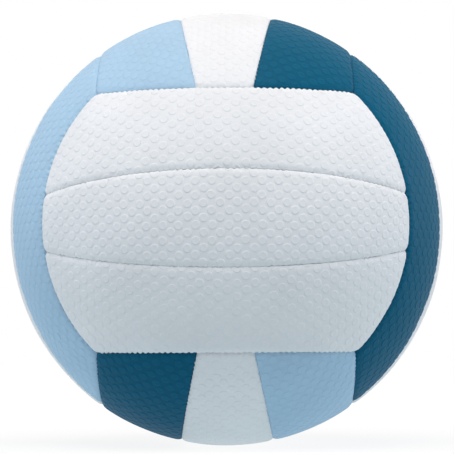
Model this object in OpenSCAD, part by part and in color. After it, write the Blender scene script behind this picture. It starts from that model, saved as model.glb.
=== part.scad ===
// A sewn beach volleyball of eighteen padded panels, in millimetres.
// The origin is the ball's centre, +Z is up, the front face looks along -Y
// and the valve comes out through the middle of the back face, along +Y.
// The cover is six faces, as on a cube, each of three strips. The strips of
// two opposite faces run the same way, and those of the next pair run across.

/* [Ball] */
// Radius over the crowns of the panels
ball_r = 106.6; // [98:0.1:115]
// Angle from the middle of a face to the seam beside its middle strip
strip_angle = 12.25; // [10:0.25:15]

/* [Panels] */
// Thickness of the outer cover
cover_t = 1.2; // [0.8:0.1:1.6]
// Thickness of the sponge foam under the cover
foam_t = 2.6; // [2:0.1:4]
// Thickness of the cloth lining under the foam
lining_t = 0.6; // [0.4:0.1:1]
// Glue line between two layers of a panel
glue_gap = 0.05; // [0.02:0.01:0.1]
// Radius of the rounded shoulder along the edges of a panel
shoulder_r = 2.4; // [2:0.1:3.2]
// Gap between the edges of two panels that are sewn together
seam_gap = 0.2; // [0.1:0.05:0.4]

/* [Sewing] */
// Diameter of the sewing thread
thread_d = 0.6; // [0.4:0.1:0.8]
// Slack between the thread and the shoulders that it lies between
thread_slack = 0.05; // [0.02:0.01:0.1]
// Distance from the end of a thread to the corner where its seam ends
thread_end = 3; // [2:0.5:5]

/* [Bladder] */
// Wall of the rubber bladder
bladder_t = 0.6; // [0.4:0.1:1.2]
// Gap between the cloth lining and the bladder
bladder_gap = 0.3; // [0.2:0.05:0.5]
// Thickness of the patch that backs the bladder round the valve
patch_t = 1; // [0.6:0.1:1.5]
// How far the patch reaches past the flange of the valve
patch_margin = 4; // [2:0.5:8]

/* [Valve] */
// Diameter of the needle channel
needle_d = 2; // [1.8:0.1:2.2]
// Depth of the funnel that leads the needle in
funnel_depth = 0.8; // [0.5:0.1:1.2]
// How far the funnel's mouth opens out past the channel
funnel_flare = 0.5; // [0.3:0.1:0.8]
// Diameter of the insert's plug
plug_d = 3.8; // [3.4:0.1:4.4]
// Length of the insert
plug_length = 11; // [9:0.5:13]
// Thickness of the closed lips at the insert's inner end
plug_lips_t = 2; // [1:0.5:3]
// How far the insert's head stands out past the plug
plug_head_lip = 0.5; // [0.3:0.1:0.8]
// Thickness of the insert's head
plug_head_t = 1.5; // [1:0.1:2]
// Wall of the housing round the insert's head
stem_wall = 0.8; // [0.6:0.1:1.2]
// Thickness of the housing's floor under the insert
stem_floor_t = 2; // [1:0.5:3]
// Depth of the stem's face below the crown of the panel
stem_recess = 0.4; // [0.2:0.1:1]
// Diameter of the flange that holds the housing inside the bladder
flange_d = 22; // [18:0.5:28]
// Thickness of the flange
flange_t = 1.2; // [0.8:0.1:2]
// Slack between the pieces of the valve
valve_slack = 0.05; // [0.02:0.01:0.1]
// Slack between the stem and the hole in the panel
panel_slack = 0.3; // [0.2:0.05:0.5]

/* [Hidden] */
$fn = 96;
// How far a cut runs past what it cuts
overrun = 1;
// Share of a shoulder's radius by which its circle laps over the faces it rounds
shoulder_lap_share = 0.06;
// Angle from the middle of a face to its edge, where cube corners meet the ball
face_angle = acos(1 / sqrt(3));

// Radii of the layers, from the outside in
cover_inner_r = ball_r - cover_t;
foam_outer_r = cover_inner_r - glue_gap;
foam_inner_r = foam_outer_r - foam_t;
lining_outer_r = foam_inner_r - glue_gap;
panel_inner_r = lining_outer_r - lining_t;
bladder_outer_r = panel_inner_r - bladder_gap;
bladder_inner_r = bladder_outer_r - bladder_t;
patch_outer_r = bladder_inner_r - valve_slack;
patch_inner_r = patch_outer_r - patch_t;
flange_outer_r = patch_inner_r - valve_slack;

// Centre of a shoulder's circle, from the ball's centre and from the seam
shoulder_offset = shoulder_r * (1 - shoulder_lap_share);
shoulder_centre_r = ball_r - shoulder_offset;
shoulder_centre_w = seam_gap / 2 + shoulder_offset;

// The thread rests on the two shoulders of its seam
thread_reach = shoulder_r + thread_slack + thread_d / 2;
thread_r = shoulder_centre_r + sqrt(thread_reach ^ 2 - shoulder_centre_w ^ 2);
// Half of the angle that a strip seam and a face seam each span
strip_seam_half_angle = acos(cos(face_angle) / cos(strip_angle));
face_seam_half_angle = 360 / 8;

// The valve, along its axis from the ball's centre
stem_face_r = ball_r - stem_recess;
plug_head_d = plug_d + 2 * plug_head_lip;
stem_d = plug_head_d + 2 * (valve_slack + stem_wall);
stem_length = plug_length + valve_slack + stem_floor_t;
valve_hole_d = stem_d + 2 * panel_slack;
stem_hole_d = stem_d + 2 * valve_slack;
patch_d = flange_d + 2 * patch_margin;

white = [0.93, 0.94, 0.95];
light_blue = [0.68, 0.8, 0.9];
dark_blue = [0.1, 0.4, 0.53];
foam_grey = [0.75, 0.76, 0.78];
cloth_white = [0.88, 0.86, 0.8];
butyl_black = [0.12, 0.12, 0.13];
valve_grey = [0.6, 0.61, 0.62];
thread_grey = [0.3, 0.42, 0.46];

FACES = ["front", "back", "bottom", "top", "left", "right"];
// What the three strips of each face are called
STRIPS = [
    ["upper", "middle", "lower"],
    ["upper", "middle", "lower"],
    ["right", "middle", "left"],
    ["right", "middle", "left"],
    ["back", "middle", "front"],
    ["back", "middle", "front"]
];
// The panel that the valve comes out through
VALVE_PANEL = "back_middle";
// The cover colours of the three strips of each face
STRIP_COLOURS = [
    [white, white, white],
    [white, white, white],
    [light_blue, white, dark_blue],
    [dark_blue, white, light_blue],
    [dark_blue, white, light_blue],
    [light_blue, white, dark_blue]
];
// The two long seams of each strip: the turn of the seam's axis about the
// strip's length, and the seam's angle from that axis
STRIP_SEAM_ANGLES = [
    [[0, face_angle], [180 - strip_angle, 90]],
    [[-strip_angle, 90], [180 + strip_angle, 90]],
    [[strip_angle, 90], [180, face_angle]]
];
// The seam that runs round both ends of a strip
END_SEAM_ANGLES = [-90, 180 - face_angle];

function panel_name(face, strip) = str(FACES[face], "_", STRIPS[face][strip]);
function piece_name(face, strip, layer) = str(panel_name(face, strip), "_", layer);

// Carries a piece of the front face over to another face.
module on_face(face) {
    turn_about = 180 * (face % 2);
    pair = floor(face / 2);
    if (pair == 0) rotate([0, 0, turn_about]) children();
    if (pair == 1) rotate([90, 0, 90]) rotate([0, 0, turn_about]) children();
    if (pair == 2) rotate([0, -90, -90]) rotate([0, 0, turn_about]) children();
}

// Turns a piece that stands along +Z to the valve's axis.
module on_valve_axis() {
    rotate([-90, 0, 0]) children();
}

// All that lies within a seam that circles the Z axis at an angle from it. It
// runs on past the seam by the inset, and then flares out round the shoulder.
module within_seam(angle, inset) {
    reach = ball_r + overrun;
    edge = seam_gap / 2 + inset;
    rotate_extrude() intersection() {
        rotate(-angle) {
            translate([edge - 3 * reach, -2 * reach]) square([3 * reach, 4 * reach]);
            difference() {
                translate([edge - overrun, shoulder_centre_r])
                    square([shoulder_centre_w - edge + overrun, reach - shoulder_centre_r]);
                translate([shoulder_centre_w, shoulder_centre_r]) circle(shoulder_r - inset);
            }
        }
        translate([0, -reach]) square([reach, 2 * reach]);
    }
}

// Trims a piece of the front face along one seam.
module trimmed(seam_angles, inset) {
    difference() {
        children();
        rotate([seam_angles[0], 0, 0]) within_seam(seam_angles[1], inset);
    }
}

// One strip of the front face between two radii, drawn in from its seams.
module strip_layer(strip, outer_r, inner_r, inset) {
    trimmed(STRIP_SEAM_ANGLES[strip][0], inset)
    trimmed(STRIP_SEAM_ANGLES[strip][1], inset)
    trimmed(END_SEAM_ANGLES, inset)
    difference() {
        sphere(outer_r);
        sphere(inner_r);
    }
}

// Drills the valve's hole through a layer of the panel that has it.
module with_valve_hole(face, strip) {
    if (panel_name(face, strip) == VALVE_PANEL) difference() {
        children();
        on_valve_axis() translate([0, 0, bladder_outer_r])
            cylinder(h = ball_r - bladder_outer_r + overrun, d = valve_hole_d);
    }
    else children();
}

// The outer cover of a panel, with its edges turned in round the foam.
module cover(face, strip) {
    color(STRIP_COLOURS[face][strip]) with_valve_hole(face, strip) on_face(face) difference() {
        strip_layer(strip, ball_r, panel_inner_r, 0);
        strip_layer(strip, cover_inner_r, panel_inner_r - overrun, cover_t);
    }
}

// The sponge foam that pads a panel.
module foam(face, strip) {
    color(foam_grey) with_valve_hole(face, strip) on_face(face)
        strip_layer(strip, foam_outer_r, foam_inner_r, cover_t + glue_gap);
}

// The woven cloth that lines a panel.
module lining(face, strip) {
    color(cloth_white) with_valve_hole(face, strip) on_face(face)
        strip_layer(strip, lining_outer_r, panel_inner_r, cover_t + glue_gap);
}

// A thread along part of a seam of the front face.
module seam_thread_arc(turn, angle, half_span) {
    seam_r = thread_r * sin(angle);
    half = half_span - thread_end / seam_r * 180 / PI;
    rotate([turn, 0, 0]) rotate_extrude(angle = 2 * half, start = 270 - half)
        translate([seam_r, thread_r * cos(angle)]) circle(d = thread_d);
}

// The sewing of every seam, two strip seams and two face seams to a face.
module seam_thread() {
    color(thread_grey) for (face = [0:5]) on_face(face) for (side = [0, 1]) rotate([0, 180 * side, 0]) {
        seam_thread_arc(-strip_angle, 90, strip_seam_half_angle);
        seam_thread_arc(0, face_angle, face_seam_half_angle);
    }
}

module bladder() {
    color(butyl_black) difference() {
        sphere(bladder_outer_r);
        sphere(bladder_inner_r);
        on_valve_axis() cylinder(h = bladder_outer_r + overrun, d = stem_hole_d);
    }
}

// A round piece of a shell about the ball's centre, across the valve's axis.
module shell_disc(outer_r, thickness, d) {
    intersection() {
        difference() {
            sphere(outer_r);
            sphere(outer_r - thickness);
        }
        cylinder(h = outer_r + overrun, d = d);
    }
}

// The patch inside the bladder that spreads the pull of the valve.
module bladder_patch() {
    color(butyl_black) on_valve_axis() difference() {
        shell_disc(patch_outer_r, patch_t, patch_d);
        cylinder(h = bladder_outer_r, d = stem_hole_d);
    }
}

// The moulded housing: a stem from inside the bladder out to the panel's face,
// with a flange under the patch and a stepped seat for the insert.
module valve_housing() {
    plug_seat_d = plug_d + 2 * valve_slack;
    head_seat_d = plug_head_d + 2 * valve_slack;
    color(valve_grey) on_valve_axis() difference() {
        union() {
            translate([0, 0, stem_face_r - stem_length]) cylinder(h = stem_length, d = stem_d);
            shell_disc(flange_outer_r, flange_t, flange_d);
        }
        translate([0, 0, stem_face_r - plug_length - valve_slack])
            cylinder(h = plug_length + overrun, d = plug_seat_d);
        translate([0, 0, stem_face_r - plug_head_t - valve_slack])
            cylinder(h = plug_head_t + overrun, d = head_seat_d);
        translate([0, 0, stem_face_r - stem_length - overrun])
            cylinder(h = stem_length, d = needle_d + 2 * valve_slack);
    }
}

// The soft plug that seals round the needle and closes behind it.
module valve_insert() {
    color(butyl_black) on_valve_axis() difference() {
        union() {
            translate([0, 0, stem_face_r - plug_length]) cylinder(h = plug_length, d = plug_d);
            translate([0, 0, stem_face_r - plug_head_t]) cylinder(h = plug_head_t, d = plug_head_d);
        }
        translate([0, 0, stem_face_r - plug_length + plug_lips_t])
            cylinder(h = plug_length, d = needle_d);
        translate([0, 0, stem_face_r - funnel_depth])
            cylinder(h = funnel_depth, d1 = needle_d, d2 = needle_d + 2 * funnel_flare);
    }
}

for (face = [0:5]) for (strip = [0:2]) {
    cover(face, strip);
    foam(face, strip);
    lining(face, strip);
}
seam_thread();
bladder();
bladder_patch();
valve_housing();
valve_insert();
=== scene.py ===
"""The looks of a sewn beach volleyball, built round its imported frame, in metres.

The cover is six faces of three padded panels. Each panel is worked out on the front face,
which looks along -Y with its strips along X, and is then turned to its own face. A place on
that face has two angles: along the strip from its middle, and across it, up from the horizon.
"""
import math

import bpy
import numpy as np
from mathutils import Euler, Matrix, Vector
from mathutils.geometry import delaunay_2d_cdt


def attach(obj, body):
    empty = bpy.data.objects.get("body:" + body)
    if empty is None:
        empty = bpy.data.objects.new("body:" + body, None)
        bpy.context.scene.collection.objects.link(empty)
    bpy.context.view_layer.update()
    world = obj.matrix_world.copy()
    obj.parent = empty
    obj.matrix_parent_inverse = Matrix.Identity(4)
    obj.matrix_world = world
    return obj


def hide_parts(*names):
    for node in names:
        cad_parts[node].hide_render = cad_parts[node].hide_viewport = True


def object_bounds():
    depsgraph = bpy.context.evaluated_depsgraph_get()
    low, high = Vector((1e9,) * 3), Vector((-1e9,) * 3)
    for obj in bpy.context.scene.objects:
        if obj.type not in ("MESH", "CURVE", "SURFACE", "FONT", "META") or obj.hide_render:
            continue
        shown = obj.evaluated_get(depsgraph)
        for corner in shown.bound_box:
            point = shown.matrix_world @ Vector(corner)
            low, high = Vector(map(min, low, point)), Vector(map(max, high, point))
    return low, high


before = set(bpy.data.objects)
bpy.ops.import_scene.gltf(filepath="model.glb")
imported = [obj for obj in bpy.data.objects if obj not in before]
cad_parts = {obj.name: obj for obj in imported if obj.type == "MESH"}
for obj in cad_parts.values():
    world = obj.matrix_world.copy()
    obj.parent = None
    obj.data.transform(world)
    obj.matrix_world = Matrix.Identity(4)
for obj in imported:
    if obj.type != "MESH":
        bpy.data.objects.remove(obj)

cad_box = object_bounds()

MM = 0.001

# The construction's own sizes
BALL_R = 106.6 * MM
STRIP_ANGLE = math.radians(12.25)
FACE_ANGLE = math.acos(1 / math.sqrt(3))
COVER_T = 1.2 * MM
PANEL_T = 4.5 * MM
VALVE_HOLE_R = 3.55 * MM
VALVE_PANEL = ("back", "middle")

# The padded shape of a panel
LIP_GAP = 0.02 * MM
SHOULDER_EVEN = 1.0 * MM
SHOULDER_W = 3.2 * MM
SHOULDER_SLOPE = 0.33
BEYOND_SLOPE = 0.8
LIP_ROUND_W = 0.35 * MM
LIP_ROUND_DEPTH = 0.2 * MM
DEEPEST = 2.6 * MM
CORNER_R = 3.2 * MM
PILLOW_W = 10 * MM
PILLOW_DEPTH = 0.15 * MM
CROWN_SINK = 0.12 * MM
RIPPLE_DEPTH = 0.07 * MM
RIPPLE_LENGTH = 22 * MM

# The waves that together make a wander over the ball
WAVE_COUNT = 7
WAVE_SPREAD = (0.6, 1.3)
WAVE_SUM_REACH = 3

# The folded edge of the cover, from its lip down to its foot and up to the foam
LIP_DEPTH = 0.15 * MM
CHANNEL_INSET = 0.36 * MM
CHANNEL_DEPTH = 0.5 * MM
FOAM_INSET = 1.3 * MM
FOAM_EDGE_DEPTH = 1.69 * MM
CEILING_INSET = 1.8 * MM

# The sewing, whose stitches draw the edges of the faces in and let those of the strips part
STITCH_PITCH = 2.85 * MM
STITCH_SHARPNESS = 1.5
STITCH_PULL = {"face": 0.5 * MM, "strip": 0.1 * MM}
STITCH_REACH = 1.4 * MM
STITCH_WANDER = 8 * MM
TIGHTNESS_WANDER = 0.45
TIGHTNESS_LIMITS = (0.3, 1.5)
LOOSE_BETWEEN = (-0.5, 0.7)
SCALLOP = {"face": 0.5 * MM, "strip": 0.4 * MM}
SCALLOP_MEAN = 0.7
SCALLOP_WANDER = 0.7
SCALLOP_MOST = 1.4
SCALLOP_REACH = 2 * MM
SCALLOP_END = (2 * MM, 5 * MM)
PARTING_DEPTH = {"face": 0.3 * MM, "strip": 0.8 * MM}
PARTING_W = 0.2 * MM
THREAD_R = 0.3 * MM
THREAD_HIGH = 2.85 * MM
THREAD_LOW = 3.45 * MM
THREAD_STEP = 0.45 * MM
THREAD_SIDES = 8
THREAD_TWIST = 2.2 * MM
THREAD_PLY_SHARE = 0.16
THREAD_PLIES = 2
THREAD_END = {"face": 2.4 * MM, "strip": 2.0 * MM}

# The embossed pimples of the cover
PIMPLE_R = 2.1 * MM
PIMPLE_RIM = 0.32 * MM
PIMPLE_GUARD = 0.26 * MM
PIMPLE_HEIGHT = 0.19 * MM
PIMPLE_DISH = 0.2
PIMPLE_SIDES = 18
PIMPLE_PITCH = {"side": 8.4 * MM, "middle": 7.6 * MM}
ROW_PITCH = 3.4 * MM
PIMPLE_WANDER = 0.17 * MM
PIMPLE_FADE = (0.1 * MM, 0.9 * MM)
PIMPLES_EACH_WAY = 16
POINTS_AT_ONCE = 4000

# In widths of the rim: how far in from a pimple's edge its dish is deepest, and how far in from
# the edge of its top its innermost ring of points lies
DISH_RIMS = 2.5
INNER_RING_RIMS = 0.9

# The hole for the valve
HOLE_SIDES = 48
HOLE_ROUND = 0.6 * MM
HOLE_RINGS = [0, 0.15 * MM, 0.4 * MM, 0.8 * MM, 1.3 * MM]
HOLE_CLEAR = 1.6 * MM

# The spacing of the mesh
EDGE_ROWS = [inset * MM for inset in (0.1, 0.2, 0.35, 0.55, 0.85, 1.25, 1.75, 2.35, 3.1)]
RING_CLEAR = 0.5 * MM
ALONG_COUNT = 520
ACROSS_COUNT = 130
OUTLINE_COUNT = 2 * (ALONG_COUNT + ACROSS_COUNT)
HALVINGS = 40
FIELD_STEP = 1.5 * MM
FIELD_JITTER = 0.2
FIELD_ALONG_SHARE = 0.97
FIELD_ACROSS_SHARE = 0.5
INSIDE_STEP = 5 * MM
MERGE_WITHIN = 1e-7
INSIDE_THE_EDGES = 1

# The layout of the baked maps, as a square that holds a panel's outside and its inside
MAP_SIZE = 200 * MM
MAP_MIDDLE = 0.5
OUTSIDE_ROW = 0.22
INSIDE_ROW = 0.62
EDGE_MARGINS = [margin * MM for margin in (0, 0.3, 0.9, 3.2, 4.2, 7.0)]
HOLE_WALL_SHARE = 0.6
THREAD_MAP_SHARE = 0.9

# The seeds of the wanders over the ball, the first of which also starts those of the panels
SEED = 11
RIPPLE_SEED = SEED + 1
LOOSE_SEED = SEED + 2
SCALLOP_SEED = SEED + 3

# The mesh attribute that says how far up a pimple a point is, which the covers' materials
# also use as the mask of their painted shade between the pimples
RAISED = "raised"

# The faces, their strips in order, and the material slot of each strip
FACES = ["front", "back", "bottom", "top", "left", "right"]
STRIPS = {
    "front": ["upper", "middle", "lower"],
    "back": ["upper", "middle", "lower"],
    "bottom": ["right", "middle", "left"],
    "top": ["right", "middle", "left"],
    "left": ["back", "middle", "front"],
    "right": ["back", "middle", "front"],
}
SLOTS = {
    "front": ["cover_white", "cover_white", "cover_white"],
    "back": ["cover_white", "cover_white", "cover_white"],
    "bottom": ["cover_light_blue", "cover_white", "cover_dark_blue"],
    "top": ["cover_dark_blue", "cover_white", "cover_light_blue"],
    "left": ["cover_dark_blue", "cover_white", "cover_light_blue"],
    "right": ["cover_light_blue", "cover_white", "cover_dark_blue"],
}
# The angle across the front face about which the rows of a strip's pimples run level
LEVEL_ACROSS = {"side": math.radians(23.75), "middle": 0.0}


def seam_axis(turn):
    """The Z axis, turned about X."""
    return np.array([0, -math.sin(turn), math.cos(turn)])


# Each seam of a strip: whether it joins faces or strips, its axis, its angle from that axis, the
# way it runs, and 1 or -1 for scallops that bulge out of the strip or into it
ALONG = np.array([1, 0, 0])
END_SEAM = ("face", np.array([0, 1, 0]), math.pi - FACE_ANGLE, np.array([0, 0, 1]), -1)
SEAMS = {
    "side": [
        ("face", seam_axis(0), FACE_ANGLE, ALONG, 1),
        ("strip", seam_axis(math.pi - STRIP_ANGLE), math.pi / 2, ALONG, 1),
        END_SEAM,
    ],
    "middle": [
        ("strip", seam_axis(-STRIP_ANGLE), math.pi / 2, ALONG, -1),
        ("strip", seam_axis(math.pi + STRIP_ANGLE), math.pi / 2, ALONG, -1),
        END_SEAM,
    ],
}
# The two kinds of seams as they are sewn: the turn of the axis, the angle from that axis, and
# half of what the seam turns through about it. Half the length of each follows from that.
SEWN_SEAMS = {
    "strip": (-STRIP_ANGLE, math.pi / 2, math.acos(math.cos(FACE_ANGLE) / math.cos(STRIP_ANGLE))),
    "face": (0, FACE_ANGLE, math.pi / 4),
}
SEAM_HALF = {
    joint: half_turn * BALL_R * math.sin(angle)
    for joint, (_, angle, half_turn) in SEWN_SEAMS.items()
}


def smooth(x, low, high):
    """0 below low, 1 above high, and a smooth step between them."""
    t = np.clip((x - low) / (high - low), 0, 1)
    return t * t * (3 - 2 * t)


def on_ball(along, across):
    """The unit vectors of places on the front face."""
    return np.stack(
        [np.sin(along), -np.cos(along) * np.cos(across), np.cos(along) * np.sin(across)], axis=-1
    )


def angles_of(points):
    """The two angles of unit vectors on the front face."""
    return np.arcsin(points[:, 0]), np.arctan2(points[:, 2], -points[:, 1])


def flat_of(kind, points):
    """A strip laid flat, with true lengths along its rows and across its middle."""
    along, across = angles_of(points)
    return BALL_R * np.stack([along, (across - LEVEL_ACROSS[kind]) * np.cos(along)], axis=-1)


def unflat(kind, flat):
    """The unit vectors of places on a strip that is laid flat."""
    along = flat[:, 0] / BALL_R
    return on_ball(along, flat[:, 1] / BALL_R / np.cos(along) + LEVEL_ACROSS[kind])


def across_limits(kind, along, inset):
    """The angles across at which a strip ends, drawn in from its two long seams."""
    angle = inset / BALL_R
    clear = np.arcsin(np.sin(angle) / np.cos(along))
    if kind == "middle":
        return clear - STRIP_ANGLE, STRIP_ANGLE - clear
    far = np.clip(np.cos(FACE_ANGLE + angle) / np.cos(along), -1, 1)
    return STRIP_ANGLE + clear, np.arcsin(far)


def across_at(kind, along, share, inset):
    """The angle across, at a share of the way from one long seam to the other."""
    low, high = across_limits(kind, along, inset)
    return low + share * (high - low)


def end_of(kind, share, inset):
    """The angle along at which a strip ends, drawn in from its end seam, found by halving."""
    inside = np.zeros_like(share)
    outside = np.full_like(share, FACE_ANGLE)
    limit = math.cos(FACE_ANGLE - inset / BALL_R)
    for _ in range(HALVINGS):
        middle = (inside + outside) / 2
        within = np.cos(middle) * np.cos(across_at(kind, middle, share, inset)) > limit
        inside = np.where(within, middle, inside)
        outside = np.where(within, outside, middle)
    return inside


def outline(kind, inset):
    """The unit vectors of a closed loop round a strip, at a distance from its seams."""
    share = np.linspace(0, 1, ACROSS_COUNT, endpoint=False)
    run = np.linspace(-1, 1, ALONG_COUNT, endpoint=False)
    ends = end_of(kind, np.array([0.0, 1.0]), inset)
    sides = [
        (run * ends[0], 0.0),
        (end_of(kind, share, inset), share),
        (-run * ends[1], 1.0),
        (-end_of(kind, 1 - share, inset), 1 - share),
    ]
    along = np.concatenate([side[0] for side in sides])
    across = np.concatenate([across_at(kind, side[0], side[1], inset) for side in sides])
    return on_ball(along, across)


def seam_distances(kind, points):
    """The distance of each point from each seam of a strip, and its place along that seam."""
    distances, places = [], []
    for _, axis, angle, way, _ in SEAMS[kind]:
        from_axis = points @ axis
        sideways = points @ way
        distances.append(BALL_R * (np.arccos(np.clip(from_axis, -1, 1)) - angle))
        radial = np.sqrt(np.clip(1 - from_axis**2 - sideways**2, 0, 1))
        places.append(BALL_R * math.sin(angle) * np.arctan2(sideways, radial))
    return distances, places


def rounded_distance(distances, radius):
    """The distance from the nearest seam, with the corners rounded to a radius."""
    return radius - np.sqrt(sum(np.clip(radius - d, 0, None) ** 2 for d in distances))


def ripple(points, length, seed):
    """A smooth wander between about -1 and 1 over the ball, from a few waves in turned ways."""
    rng = np.random.default_rng(seed)
    ways = rng.normal(size=(WAVE_COUNT, 3))
    ways /= np.linalg.norm(ways, axis=1)[:, None]
    phases = rng.uniform(0, 2 * math.pi, WAVE_COUNT)
    waves = BALL_R / length * 2 * math.pi * rng.uniform(*WAVE_SPREAD, WAVE_COUNT)
    return np.sin(points @ (ways * waves[:, None]).T + phases).sum(axis=1) / WAVE_SUM_REACH


def stitch_share(places):
    """How near places along a seam are to a stitch: 1 at a stitch, 0 halfway."""
    return ((1 + np.cos(2 * math.pi * places / STITCH_PITCH)) / 2) ** STITCH_SHARPNESS


def pulled_in(kind, distances, places, turned):
    """The distances from the seams, once each stitch has drawn the edges in."""
    wander = ripple(turned, STITCH_WANDER, SEED)
    tightness = np.clip(1 + TIGHTNESS_WANDER * wander, *TIGHTNESS_LIMITS)
    pulled = []
    for (joint, *_), distance, place in zip(SEAMS[kind], distances, places):
        reach = np.exp(-np.clip(distance, 0, None) / STITCH_REACH)
        pulled.append(distance - STITCH_PULL[joint] * tightness * stitch_share(place) * reach)
    return pulled


def parted_drop(kind, distances, places, turned):
    """How far the surface falls where the two lips of a seam part between the stitches."""
    loose = smooth(ripple(turned, STITCH_WANDER, LOOSE_SEED), *LOOSE_BETWEEN)
    drop = 0
    for (joint, *_), distance, place in zip(SEAMS[kind], distances, places):
        lip = 1 - smooth(distance, 0, PARTING_W)
        drop += PARTING_DEPTH[joint] * loose * (1 - stitch_share(place)) * lip
    return drop


def scalloped(kind, points, turned):
    """The points, moved along the ball so that each seam runs in small scallops."""
    distances, places = seam_distances(kind, points)
    wander = ripple(turned, STITCH_WANDER, SCALLOP_SEED)
    size = np.clip(SCALLOP_MEAN + SCALLOP_WANDER * wander, 0, SCALLOP_MOST)
    moved = points.copy()
    for (joint, axis, _, _, way_out), distance, place in zip(SEAMS[kind], distances, places):
        inward = (points @ axis)[:, None] * points - axis
        inward /= np.linalg.norm(inward, axis=1)[:, None]
        wave = 0.5 - stitch_share(place)
        near = np.exp(-np.clip(distance, 0, None) / SCALLOP_REACH)
        near *= smooth(SEAM_HALF[joint] - np.abs(place), *SCALLOP_END)
        step = -way_out * SCALLOP[joint] * size * wave * near
        moved += inward * (step / BALL_R)[:, None]
    return moved / np.linalg.norm(moved, axis=1)[:, None]


def shoulder_drop(distance):
    """How far the surface falls on the shoulder beside a seam and on the rounded lip at it. The
    shoulder slopes evenly near the lip, and its slope then eases off by a smooth step."""
    inside = np.clip(distance, 0, None)
    lip = np.clip(1 - inside / LIP_ROUND_W, 0, 1)
    rounded = LIP_ROUND_DEPTH * (1 - np.sqrt(1 - lip**2))
    beyond = np.clip(-distance, 0, None) * BEYOND_SLOPE
    t = np.clip((inside - SHOULDER_EVEN) / (SHOULDER_W - SHOULDER_EVEN), 0, 1)
    eased = (SHOULDER_W - SHOULDER_EVEN) * (0.5 - t + t**3 - t**4 / 2)
    even = np.clip(SHOULDER_EVEN - inside, 0, None)
    return SHOULDER_SLOPE * (even + eased) + rounded + beyond


def pimple_rise(points, centres):
    """How far up the nearest pimple each point is: 0 beside it, 1 on its rim, less in its dish."""
    rise = np.zeros(len(points))
    for start in range(0, len(points), POINTS_AT_ONCE):
        block = points[start:start + POINTS_AT_ONCE]
        near = np.sqrt(np.clip(2 - 2 * (block @ centres.T).max(axis=1), 0, None)) * BALL_R
        rim = 1 - smooth(near, PIMPLE_R - PIMPLE_RIM, PIMPLE_R)
        dish = 1 - smooth(near, PIMPLE_R - DISH_RIMS * PIMPLE_RIM, PIMPLE_R - PIMPLE_RIM)
        rise[start:start + POINTS_AT_ONCE] = rim - PIMPLE_DISH * dish
    return rise


def from_hole(points):
    """The distance of each point from the rim of the valve's hole."""
    return np.linalg.norm(points - on_ball(0.0, 0.0), axis=1) * BALL_R - VALVE_HOLE_R


def surface_radius(kind, points, centres, turn, has_hole):
    """The radius of a panel's outer surface over unit vectors on the front face, and how far
    each place is up a pimple."""
    distances, places = seam_distances(kind, points)
    turned = points @ turn.T
    edge = rounded_distance(pulled_in(kind, distances, places, turned), CORNER_R)
    pillow = 1 - smooth(rounded_distance(distances, PILLOW_W), 0, PILLOW_W)
    drop = shoulder_drop(edge) + PILLOW_DEPTH * pillow
    drop += parted_drop(kind, distances, places, turned)
    drop += RIPPLE_DEPTH * (1 + ripple(turned, RIPPLE_LENGTH, RIPPLE_SEED))
    if has_hole:
        drop += HOLE_ROUND * (1 - smooth(from_hole(points), -HOLE_ROUND, 2 * HOLE_ROUND))
    raised = pimple_rise(points, centres) * smooth(edge, *PIMPLE_FADE)
    return BALL_R - CROWN_SINK - np.clip(drop, 0, DEEPEST) + PIMPLE_HEIGHT * raised, raised


def pimple_centres(kind, rng, has_hole):
    """The unit vectors of the middles of a panel's pimples, in staggered rows."""
    first = rng.uniform(0, 1, 2)
    count = np.arange(-PIMPLES_EACH_WAY, PIMPLES_EACH_WAY + 1)
    rows, columns = np.meshgrid(count, count, indexing="ij")
    columns = columns + (rows % 2) / 2 + first[0]
    flat = np.stack([columns * PIMPLE_PITCH[kind], (rows + first[1]) * ROW_PITCH], axis=-1)
    flat = flat.reshape(-1, 2)
    flat += rng.normal(scale=PIMPLE_WANDER, size=flat.shape)
    points = unflat(kind, flat[np.abs(flat[:, 0]) < BALL_R])
    distances, _ = seam_distances(kind, points)
    points = points[np.min(distances, axis=0) > -PIMPLE_R / 2]
    if has_hole:
        points = points[from_hole(points) > HOLE_CLEAR + PIMPLE_R]
    return points


def rings_round(centres, radii, sides):
    """The unit vectors of rings of points round some middles, as middles by rings by sides."""
    turn = np.linspace(0, 2 * math.pi, sides, endpoint=False)
    across = np.cross(ALONG, centres)
    across /= np.linalg.norm(across, axis=1)[:, None]
    along = np.cross(centres, across)
    circle = np.cos(turn)[None, :, None] * along[:, None]
    circle = circle + np.sin(turn)[None, :, None] * across[:, None]
    reach = np.array(radii)[None, :, None, None] / BALL_R
    points = centres[:, None, None] + reach * circle[:, None]
    return points / np.linalg.norm(points, axis=-1)[..., None]


def pimple_rings(centres):
    """The rings that carry a pimple's foot, its rim and its top."""
    top = PIMPLE_R - PIMPLE_RIM
    foot = [PIMPLE_R + PIMPLE_GUARD, PIMPLE_R, PIMPLE_R - PIMPLE_RIM / 2]
    return rings_round(centres, foot + [top, top - INNER_RING_RIMS * PIMPLE_RIM], PIMPLE_SIDES)


def hole_rings():
    """The rings round the valve's hole, from its rim outwards."""
    radii = [VALVE_HOLE_R + step for step in HOLE_RINGS]
    return rings_round(on_ball(0.0, 0.0)[None], radii, HOLE_SIDES)[0]


def closed_loop(first, count):
    """The edges of a closed loop of points."""
    return [(first + k, first + (k + 1) % count) for k in range(count)]


def clear_of(points, others, reach):
    """Which unit vectors lie further than a reach from all of the others."""
    return 2 - 2 * (points @ others.T).max(axis=1) > (reach / BALL_R) ** 2


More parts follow.
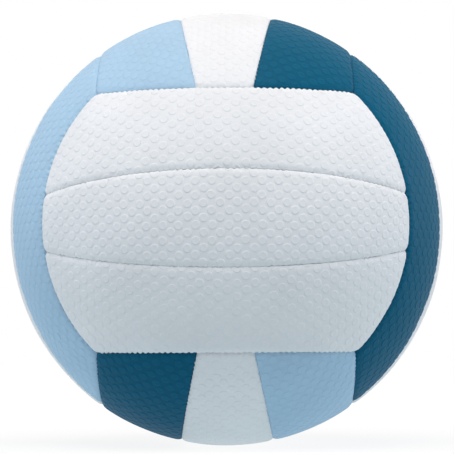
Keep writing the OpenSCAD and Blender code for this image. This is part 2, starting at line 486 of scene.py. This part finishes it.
def field_points(kind, step, margin, rng, has_hole):
    """Loosely spaced unit vectors over a strip, clear of its seams and of the valve's hole."""
    reach = int(BALL_R / step) + 1
    grid = np.stack(np.meshgrid(np.arange(-reach, reach), np.arange(-reach, reach)), axis=-1)
    jitter = rng.uniform(-FIELD_JITTER, FIELD_JITTER, (grid.size // 2, 2))
    flat = (grid.reshape(-1, 2) + jitter) * step
    within = np.abs(flat[:, 0]) < FIELD_ALONG_SHARE * BALL_R
    flat = flat[within & (np.abs(flat[:, 1]) < FIELD_ACROSS_SHARE * BALL_R)]
    points = unflat(kind, flat)
    distances, _ = seam_distances(kind, points)
    points = points[np.min(distances, axis=0) > margin]
    return points[from_hole(points) > HOLE_CLEAR] if has_hole else points


def triangulate(kind, points, edges, has_hole):
    """Triangles between points of a strip that is laid flat, and the points with any it adds."""
    flat = [Vector(place) for place in flat_of(kind, points)]
    found = delaunay_2d_cdt(flat, edges, [], INSIDE_THE_EDGES, MERGE_WITHIN, True)
    source = np.array([origin[0] if origin else -1 for origin in found[3]])
    added = np.flatnonzero(source < 0)
    source[added] = len(points) + np.arange(len(added))
    if len(added):
        crossings = np.array([tuple(found[0][k]) for k in added])
        points = np.concatenate([points, unflat(kind, crossings)])
    faces = source[np.array(found[2])]
    if has_hole:
        faces = faces[from_hole(points[faces].mean(axis=1)) > 0]
    return points, faces


def linked(name, data):
    """A new object in the scene, with its data."""
    obj = bpy.data.objects.new(name, data)
    bpy.context.scene.collection.objects.link(obj)
    return obj


class Build:
    """Gathers the points, the faces and the baked map of one mesh."""

    def __init__(self):
        self.points = []
        self.faces = []
        self.map = []
        self.raised = np.zeros(0)

    def add(self, points):
        """Adds points, and gives the number of the first."""
        first = sum(len(p) for p in self.points)
        self.points.append(points)
        return first

    def skin(self, first, faces, places):
        """Faces over points from the first on, each with its place on the map."""
        self.faces += (faces + first).tolist()
        self.map.append(places[faces].reshape(-1, 2))

    def band(self, first, second, near, far, closed=True):
        """Quads between two rows of points, each row with its places on the map."""
        k = np.arange(len(near) if closed else len(near) - 1)
        n = (k + 1) % len(near)
        self.faces += np.stack([first + k, second + k, second + n, first + n], axis=1).tolist()
        self.map.append(np.stack([near[k], far[k], far[n], near[n]], axis=1).reshape(-1, 2))

    def made(self, name):
        """The finished mesh, as an object in the scene."""
        mesh = bpy.data.meshes.new(name)
        mesh.from_pydata(np.concatenate(self.points).tolist(), [], self.faces)
        layer = mesh.uv_layers.new(name="OFBake")
        layer.data.foreach_set("uv", np.concatenate(self.map).ravel())
        rise = mesh.attributes.new(RAISED, "FLOAT", "POINT")
        others = len(mesh.vertices) - len(self.raised)
        rise.data.foreach_set("value", np.pad(self.raised, (0, others)))
        mesh.validate()
        mesh.polygons.foreach_set("use_smooth", np.ones(len(mesh.polygons), bool))
        return linked(name, mesh)


def on_map(kind, points, row):
    """The places of a strip's points on its map, in the outside's row or the inside's."""
    return flat_of(kind, points) / MAP_SIZE + np.array([MAP_MIDDLE, row])


def outer_points(kind, centres, rng, has_hole):
    """The unit vectors of a panel's outer surface, its outline first, and its fixed edges."""
    rows = [outline(kind, inset) for inset in (LIP_GAP, *EDGE_ROWS)]
    rings = pimple_rings(centres)
    distances, _ = seam_distances(kind, rings.reshape(-1, 3))
    kept = (np.min(distances, axis=0) > RING_CLEAR).reshape(rings.shape[:3])
    middles = centres[np.min(seam_distances(kind, centres)[0], axis=0) > RING_CLEAR]
    loose = field_points(kind, FIELD_STEP, EDGE_ROWS[-1], rng, has_hole)
    loose = loose[clear_of(loose, centres, PIMPLE_R + 2 * PIMPLE_GUARD)]
    parts = [*rows, middles, loose]
    edges = closed_loop(0, OUTLINE_COUNT)
    if has_hole:
        edges += closed_loop(sum(len(p) for p in parts), HOLE_SIDES)
        parts.append(hole_rings().reshape(-1, 3))
    first = sum(len(p) for p in parts)
    number = np.where(kept, first + np.cumsum(kept.ravel()).reshape(kept.shape) - 1, -1)
    for ring in number.reshape(-1, PIMPLE_SIDES):
        edges += [(int(a), int(b)) for a, b in zip(ring, np.roll(ring, -1)) if a >= 0 and b >= 0]
    return np.concatenate([*parts, rings[kept]]), edges


def folded_edge(build, kind, lip_radius):
    """The edge of the cover, folded in from the lip round the foot, and the loop where it ends."""
    loops = [
        (LIP_GAP, lip_radius - LIP_DEPTH),
        (CHANNEL_INSET, lip_radius - CHANNEL_DEPTH),
        (CHANNEL_INSET, BALL_R - PANEL_T),
        (FOAM_INSET, BALL_R - PANEL_T),
        (FOAM_INSET, BALL_R - FOAM_EDGE_DEPTH),
    ]
    first = 0
    maps = [on_map(kind, outline(kind, LIP_GAP - margin), OUTSIDE_ROW) for margin in EDGE_MARGINS]
    for (inset, radius), near, far in zip(loops, maps, maps[1:]):
        second = build.add(outline(kind, inset) * np.reshape(radius, (-1, 1)))
        build.band(first, second, near, far)
        first = second
    return first


def inner_face(build, kind, edge_first, rng, has_hole):
    """The inside of the cover over the foam, and the wall of the valve's hole."""
    loop = outline(kind, CEILING_INSET)
    parts = [loop, field_points(kind, INSIDE_STEP, 2 * CEILING_INSET, rng, has_hole)]
    edges = closed_loop(0, OUTLINE_COUNT)
    hole = sum(len(p) for p in parts)
    if has_hole:
        parts.append(hole_rings()[0])
        edges += closed_loop(hole, HOLE_SIDES)
    points, faces = triangulate(kind, np.concatenate(parts), edges, has_hole)
    first = build.add(points * (BALL_R - COVER_T))
    build.skin(first, faces[:, ::-1], on_map(kind, points, INSIDE_ROW))
    near = on_map(kind, outline(kind, FOAM_INSET), INSIDE_ROW)
    build.band(edge_first, first, near, on_map(kind, loop, INSIDE_ROW))
    return first + hole


def turn_of(face_index, strip_index):
    """The turn that carries a strip of the front face to its place on its own face."""
    over = Matrix.Rotation(math.pi * (face_index % 2), 3, "Z")
    to_pair = [
        Matrix.Identity(3),
        Euler((math.pi / 2, 0, math.pi / 2)).to_matrix(),
        Euler((0, -math.pi / 2, -math.pi / 2)).to_matrix(),
    ][face_index // 2]
    to_strip = Matrix.Rotation(math.pi if strip_index == 2 else 0, 3, "Y")
    return to_pair @ over @ to_strip


def panel(face, strip, colour):
    """One padded panel: a tray of cover, open towards the ball's centre."""
    face_index, strip_index = FACES.index(face), STRIPS[face].index(strip)
    kind = "middle" if strip_index == 1 else "side"
    has_hole = (face, strip) == VALVE_PANEL
    turn = np.array(turn_of(face_index, strip_index))
    rng = np.random.default_rng(SEED + len(STRIPS[face]) * face_index + strip_index)
    centres = pimple_centres(kind, rng, has_hole)
    points, edges = outer_points(kind, centres, rng, has_hole)
    points, faces = triangulate(kind, points, edges, has_hole)
    radius, raised = surface_radius(kind, points, centres, turn, has_hole)
    build = Build()
    build.add(scalloped(kind, points, points @ turn.T) * radius[:, None])
    build.raised = raised
    build.skin(0, faces, on_map(kind, points, OUTSIDE_ROW))
    edge_first = folded_edge(build, kind, radius[:OUTLINE_COUNT])
    inner_hole = inner_face(build, kind, edge_first, rng, has_hole)
    if has_hole:
        rim = hole_rings()[0]
        rim_first = int(np.argmin(np.linalg.norm(points - rim[0], axis=1)))
        on_rim = on_map(kind, rim, OUTSIDE_ROW)
        middle = on_map(kind, on_ball(0.0, 0.0)[None], OUTSIDE_ROW)
        build.band(inner_hole, rim_first, middle + HOLE_WALL_SHARE * (on_rim - middle), on_rim)
    obj = build.made(f"{face}_{strip}_panel")
    obj.data.transform(Matrix(turn).to_4x4())
    obj.data.materials.append(colour)
    return obj


def thread_path(turn, angle, half):
    """One seam's thread, which dives into the panels at each stitch: its middles, the two ways
    across it, and its places along the seam."""
    count = int(2 * half * BALL_R * math.sin(angle) / THREAD_STEP)
    about = np.linspace(-half, half, count)
    places = about * BALL_R * math.sin(angle)
    depth = THREAD_HIGH + (THREAD_LOW - THREAD_HIGH) * stitch_share(places)
    axis = seam_axis(turn)
    front = np.cross(axis, ALONG)
    way = np.sin(about)[:, None] * ALONG - np.cos(about)[:, None] * front
    out = math.sin(angle) * way + math.cos(angle) * axis
    tangent = np.cos(about)[:, None] * ALONG + np.sin(about)[:, None] * front
    return out * (BALL_R - depth)[:, None], out, np.cross(out, tangent), places


def twisted_tube(centre, out, side, places):
    """The points of a twisted thread, as places along it by sides."""
    ring = np.linspace(0, 2 * math.pi, THREAD_SIDES, endpoint=False)
    twist = ring[None] - 2 * math.pi * places[:, None] / THREAD_TWIST
    ply = 1 + THREAD_PLY_SHARE * np.cos(THREAD_PLIES * twist)
    return centre[:, None] + THREAD_R * ply[..., None] * (
        np.cos(ring)[None, :, None] * out[:, None] + np.sin(ring)[None, :, None] * side[:, None]
    )


def thread_arc(build, turn, angle, half, matrix, map_row):
    """Adds one seam's thread, turned by a matrix, in its own row of the map."""
    points = twisted_tube(*thread_path(turn, angle, half))
    count = len(points)
    first = build.add(points.transpose(1, 0, 2).reshape(-1, 3) @ matrix.T)
    along = np.linspace(0, 1, count)
    rows = [np.stack([along, np.full(count, map_row[0] + share * map_row[1])], axis=1)
            for share in np.linspace(0, THREAD_MAP_SHARE, THREAD_SIDES + 1)]
    for k in range(THREAD_SIDES):
        next_row = first + (k + 1) % THREAD_SIDES * count
        build.band(first + k * count, next_row, rows[k], rows[k + 1], closed=False)
    for end, way_round in ((0, -1), (count - 1, 1)):
        cap = first + end + count * np.arange(THREAD_SIDES)[::way_round]
        build.skin(0, cap[None], np.tile(rows[0][end], (cap.max() + 1, 1)))


def seam_sewing(material):
    """The sewing of all the seams, two strip seams and two face seams to a face."""
    build = Build()
    arcs = [
        (face_index, strip_index, joint)
        for face_index in range(len(FACES)) for strip_index in (0, 2) for joint in SEWN_SEAMS
    ]
    for number, (face_index, strip_index, joint) in enumerate(arcs):
        turn, angle, half_turn = SEWN_SEAMS[joint]
        half = half_turn - THREAD_END[joint] / BALL_R
        matrix = np.array(turn_of(face_index, strip_index))
        map_row = (number / len(arcs), 1 / len(arcs))
        thread_arc(build, turn, angle, half, matrix, map_row)
    obj = build.made("seam_sewing")
    obj.data.materials.append(material)
    return obj


# Materials

# The colour of each cover, as display values, and the share of it that paints shade between the
# pimples
COVER_COLOURS = {
    "cover_white": ((241, 241, 242), 1.0),
    "cover_light_blue": ((177, 208, 231), 0.97),
    "cover_dark_blue": ((17, 94, 124), 0.9),
}

# The covers' sheen, the faint cloud in their colour, and their fine grain
COVER_ROUGHNESS = 0.48
COVER_ROUGHNESS_SPREAD = 0.05
COVER_SPECULAR = 0.04
CLOUD_SIZE = 30 * MM
CLOUD_DETAIL = 4
CLOUD_SHARE = 0.95
GRAIN_SIZE = 0.5 * MM
GRAIN_DETAIL = 2
GRAIN_BREAKUP = 0.6
GRAIN_STRENGTH = 0.25
GRAIN_DEPTH = 0.06 * MM

# The other materials: two close colours, as display values, the size of the grain, the
# roughness, and the depth of the bump
PLAIN_MATERIALS = {
    "foam": ((225, 226, 228), (198, 200, 204), 0.5 * MM, 0.9, 0.2 * MM),
    "lining": ((236, 232, 220), (214, 208, 192), 0.7 * MM, 0.85, 0.1 * MM),
    "thread": ((206, 212, 216), (182, 190, 196), 0.3 * MM, 0.6, 0.05 * MM),
    "bladder_rubber": ((34, 34, 36), (50, 50, 52), 2 * MM, 0.55, 0.05 * MM),
    "valve_rubber": ((150, 152, 154), (132, 134, 137), 0.6 * MM, 0.5, 0.03 * MM),
    "insert_rubber": ((40, 40, 42), (54, 54, 56), 0.6 * MM, 0.5, 0.03 * MM),
}

# How far the other materials' roughness wanders down and up, and how strong their bump is
PLAIN_SMOOTHER = 0.05
PLAIN_ROUGHER = 0.08
PLAIN_STRENGTH = 0.5

# The material slots of the pieces whose names don't say them
NODE_SLOTS = {
    "bladder": "bladder_rubber",
    "bladder_patch": "bladder_rubber",
    "valve_housing": "valve_rubber",
    "valve_insert": "insert_rubber",
}

# The range that a noise mostly keeps to, and the mix node's sockets for colours
NOISE_LOW = 0.3
NOISE_HIGH = 0.7
MIX_INPUTS = (6, 7)
MIX_OUTPUT = 2


def from_srgb(*channels):
    """A linear colour from display values of 0 to 255, by the sRGB curve."""
    return tuple(
        c / 255 / 12.92 if c <= 10 else ((c / 255 + 0.055) / 1.055) ** 2.4 for c in channels
    )


def principled(name, roughness, specular=0.5):
    """A new material and its shader."""
    material = bpy.data.materials.new(name)
    material.use_nodes = True
    shader = material.node_tree.nodes["Principled BSDF"]
    shader.inputs["Roughness"].default_value = roughness
    shader.inputs["Specular IOR Level"].default_value = specular
    return material, shader


def noise(tree, scale, detail=3.0, roughness=0.5):
    """A noise over the object's own coordinates."""
    place = tree.nodes.new("ShaderNodeTexCoord")
    node = tree.nodes.new("ShaderNodeTexNoise")
    node.inputs["Scale"].default_value = scale
    node.inputs["Detail"].default_value = detail
    node.inputs["Roughness"].default_value = roughness
    tree.links.new(place.outputs["Object"], node.inputs["Vector"])
    return node.outputs["Fac"]


def ranged(tree, value, low, high, start=NOISE_LOW, end=NOISE_HIGH):
    """A value mapped from one range to another."""
    node = tree.nodes.new("ShaderNodeMapRange")
    node.inputs["From Min"].default_value = start
    node.inputs["From Max"].default_value = end
    node.inputs["To Min"].default_value = low
    node.inputs["To Max"].default_value = high
    tree.links.new(value, node.inputs["Value"])
    return node.outputs["Result"]


def mixed(tree, factor, one, other):
    """A colour between two, each a colour or the output of a node."""
    node = tree.nodes.new("ShaderNodeMix")
    node.data_type = "RGBA"
    for number, colour in zip(MIX_INPUTS, (one, other)):
        if isinstance(colour, tuple):
            node.inputs[number].default_value = (*colour, 1)
        else:
            tree.links.new(colour, node.inputs[number])
    tree.links.new(factor, node.inputs[0])
    return node.outputs[MIX_OUTPUT]


def bumped(tree, shader, height, strength, distance):
    """Gives a shader a bump from a height."""
    node = tree.nodes.new("ShaderNodeBump")
    node.inputs["Strength"].default_value = strength
    node.inputs["Distance"].default_value = distance
    tree.links.new(height, node.inputs["Height"])
    tree.links.new(node.outputs["Normal"], shader.inputs["Normal"])


def scaled_colour(colour, share):
    """A share of a colour."""
    return tuple(channel * share for channel in colour)


def cover_material(name, colour, painted_shade_share):
    """Matt synthetic leather, with a fine grain, a faint unevenness of colour, and painted shade
    between the pimples, where the colour drops to a share of itself."""
    material, shader = principled(name, COVER_ROUGHNESS, COVER_SPECULAR)
    tree = material.node_tree
    cloud = ranged(tree, noise(tree, 1 / CLOUD_SIZE, CLOUD_DETAIL), 0, 1)
    top = mixed(tree, cloud, colour, scaled_colour(colour, CLOUD_SHARE))
    # Painted shade: between the pimples the colour drops to a share of itself, masked by the
    # raised attribute
    clouded_painted_shade = scaled_colour(colour, CLOUD_SHARE * painted_shade_share)
    painted_shade = mixed(tree, cloud, scaled_colour(colour, painted_shade_share), clouded_painted_shade)
    raised = tree.nodes.new("ShaderNodeAttribute")
    raised.attribute_name = RAISED
    tree.links.new(mixed(tree, raised.outputs["Fac"], painted_shade, top), shader.inputs["Base Color"])
    grain = noise(tree, 1 / GRAIN_SIZE, GRAIN_DETAIL, GRAIN_BREAKUP)
    smoothest = COVER_ROUGHNESS - COVER_ROUGHNESS_SPREAD
    roughest = COVER_ROUGHNESS + COVER_ROUGHNESS_SPREAD
    tree.links.new(ranged(tree, grain, smoothest, roughest), shader.inputs["Roughness"])
    bumped(tree, shader, grain, GRAIN_STRENGTH, GRAIN_DEPTH)
    return material


def plain_material(name, one, other, grain_size, roughness, bump_depth):
    """A material of two close colours with a bump of one grain size."""
    material, shader = principled(name, roughness)
    tree = material.node_tree
    grain = noise(tree, 1 / grain_size)
    tree.links.new(mixed(tree, ranged(tree, grain, 0, 1), one, other), shader.inputs["Base Color"])
    uneven = ranged(tree, grain, roughness - PLAIN_SMOOTHER, roughness + PLAIN_ROUGHER)
    tree.links.new(uneven, shader.inputs["Roughness"])
    bumped(tree, shader, grain, PLAIN_STRENGTH, bump_depth)
    return material


def make_materials():
    """All the materials, by the names of their slots."""
    found = {}
    for name, (colour, painted_shade_share) in COVER_COLOURS.items():
        found[name] = cover_material(name, from_srgb(*colour), painted_shade_share)
    for name, (one, other, *settings) in PLAIN_MATERIALS.items():
        found[name] = plain_material(name, from_srgb(*one), from_srgb(*other), *settings)
    return found


def dress_nodes(materials):
    """Gives the construction's pieces that stay their materials."""
    for name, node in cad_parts.items():
        if name.endswith("_cover") or name == "seam_thread":
            continue
        slot = NODE_SLOTS.get(name, name.rsplit("_", 1)[-1])
        node.data.materials.clear()
        node.data.materials.append(materials[slot])


# The stage, the lights and the camera

# The light that the sky and the table throw on the ball
SKY = (0.05, 0.075, 0.115)
TABLE = (0.51, 0.605, 0.65)

# The floor and the backdrop as they are seen
FLOOR_NEAR = (0.88, 0.88, 0.88)
FLOOR_FAR = (1, 1, 1)
FLOOR_FADE = (0.15, 0.7)
FLOOR_SHADE = (0.12, 0.12, 0.12)
FLOOR_REACH = 6.0
BACKDROP = (1, 1, 1)

# Each light's azimuth and elevation in degrees, its size, its level and its colour
LIGHT_DISTANCE = 1.3
LIGHTS = {
    "key": (0, 60, 1.0, 0.915, (1, 0.99, 0.99)),
    "top": (0, 90, 1.0, 0.12, (1, 0.65, 0.3)),
    "left_fill": (-100, 10, 0.8, 0.39, (0.94, 0.955, 1)),
    "right_fill": (100, 10, 0.8, 0.41, (0.955, 0.965, 1)),
}

# The photograph's view, with its angles in degrees
CAMERA_DISTANCE = 10.6 * BALL_R
CAMERA_AZIMUTH = 0.45
CAMERA_ELEVATION = -3.0
CAMERA_ROLL = 0.235
CAMERA_AIM = (0.18 * MM, 0, 1.22 * MM)
CAMERA_LENS = 180.7
SENSOR_WIDTH = 36


def floor_material():
    """A pale light table: nearly white to the camera, with the ball's shadow left in it."""
    material = bpy.data.materials.new("floor")
    material.use_nodes = True
    tree = material.node_tree
    tree.nodes.clear()
    output = tree.nodes.new("ShaderNodeOutputMaterial")
    matt = tree.nodes.new("ShaderNodeBsdfDiffuse")
    matt.inputs["Color"].default_value = (*FLOOR_SHADE, 1)
    glow = tree.nodes.new("ShaderNodeEmission")
    place = tree.nodes.new("ShaderNodeTexCoord")
    reach = tree.nodes.new("ShaderNodeVectorMath")
    reach.operation = "LENGTH"
    tree.links.new(place.outputs["Object"], reach.inputs[0])
    fade = ranged(tree, reach.outputs["Value"], 0, 1, *FLOOR_FADE)
    white = mixed(tree, fade, FLOOR_NEAR, FLOOR_FAR)
    colour = mixed(tree, seen_directly(tree), TABLE, white)
    tree.links.new(colour, glow.inputs["Color"])
    both = tree.nodes.new("ShaderNodeAddShader")
    tree.links.new(matt.outputs[0], both.inputs[0])
    tree.links.new(glow.outputs[0], both.inputs[1])
    tree.links.new(both.outputs[0], output.inputs[0])
    return material


def seen_directly(tree):
    """1 for a camera, glossy or transmission ray, and 0 for the rest."""
    path = tree.nodes.new("ShaderNodeLightPath")
    total = None
    for name in ("Is Camera Ray", "Is Glossy Ray", "Is Transmission Ray"):
        if total is None:
            total = path.outputs[name]
            continue
        node = tree.nodes.new("ShaderNodeMath")
        node.operation = "MAXIMUM"
        tree.links.new(total, node.inputs[0])
        tree.links.new(path.outputs[name], node.inputs[1])
        total = node.outputs[0]
    return total


def make_floor():
    """A wide square floor under the ball."""
    signs = [(-1, -1), (1, -1), (1, 1), (-1, 1)]
    corners = [(x * FLOOR_REACH, y * FLOOR_REACH, cad_box[0].z) for x, y in signs]
    mesh = bpy.data.meshes.new("floor")
    mesh.from_pydata(corners, [], [(0, 1, 2, 3)])
    mesh.materials.append(floor_material())
    linked("floor", mesh)


def make_world():
    """A studio that is white to the camera and lights the ball with a dim sky."""
    world = bpy.data.worlds.new("studio")
    world.use_nodes = True
    bpy.context.scene.world = world
    tree = world.node_tree
    background = tree.nodes["Background"]
    colour = mixed(tree, seen_directly(tree), SKY, BACKDROP)
    tree.links.new(colour, background.inputs["Color"])


def outwards(azimuth, elevation):
    """The unit vector out from the ball, at angles in degrees round from the front and up."""
    turn, rise = math.radians(azimuth), math.radians(elevation)
    level = math.cos(rise)
    return Vector((math.sin(turn) * level, -math.cos(turn) * level, math.sin(rise)))


def area_light(name, azimuth, elevation, size, level, colour):
    """A soft square light that faces the ball, at a level that a white surface would show."""
    light = bpy.data.lights.new(name, "AREA")
    light.size = size
    light.energy = level * (math.pi * LIGHT_DISTANCE) ** 2
    light.color = colour
    lamp = linked(name, light)
    lamp.location = LIGHT_DISTANCE * outwards(azimuth, elevation)
    lamp.rotation_euler = (-lamp.location).to_track_quat("-Z", "Y").to_euler()


def make_camera():
    """The photograph's view: its distance, direction, roll and framing."""
    data = bpy.data.cameras.new("camera")
    data.lens = CAMERA_LENS
    data.sensor_width = SENSOR_WIDTH
    camera = linked("camera", data)
    camera.location = outwards(CAMERA_AZIMUTH, CAMERA_ELEVATION) * CAMERA_DISTANCE
    facing = (Vector(CAMERA_AIM) - camera.location).to_track_quat("-Z", "Y").to_matrix()
    roll = Matrix.Rotation(-math.radians(CAMERA_ROLL), 3, "Z")
    camera.rotation_euler = (facing @ roll).to_euler()
    bpy.context.scene.camera = camera


materials = make_materials()
for face in FACES:
    for strip, slot in zip(STRIPS[face], SLOTS[face]):
        piece = panel(face, strip, materials[slot])
        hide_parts(f"{face}_{strip}_cover")
        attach(piece, "root")
sewing = seam_sewing(materials["thread"])
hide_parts("seam_thread")
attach(sewing, "root")
dress_nodes(materials)
make_floor()
make_world()
for name, settings in LIGHTS.items():
    area_light(name, *settings)
make_camera()
bpy.context.scene.view_settings.view_transform = "Standard"
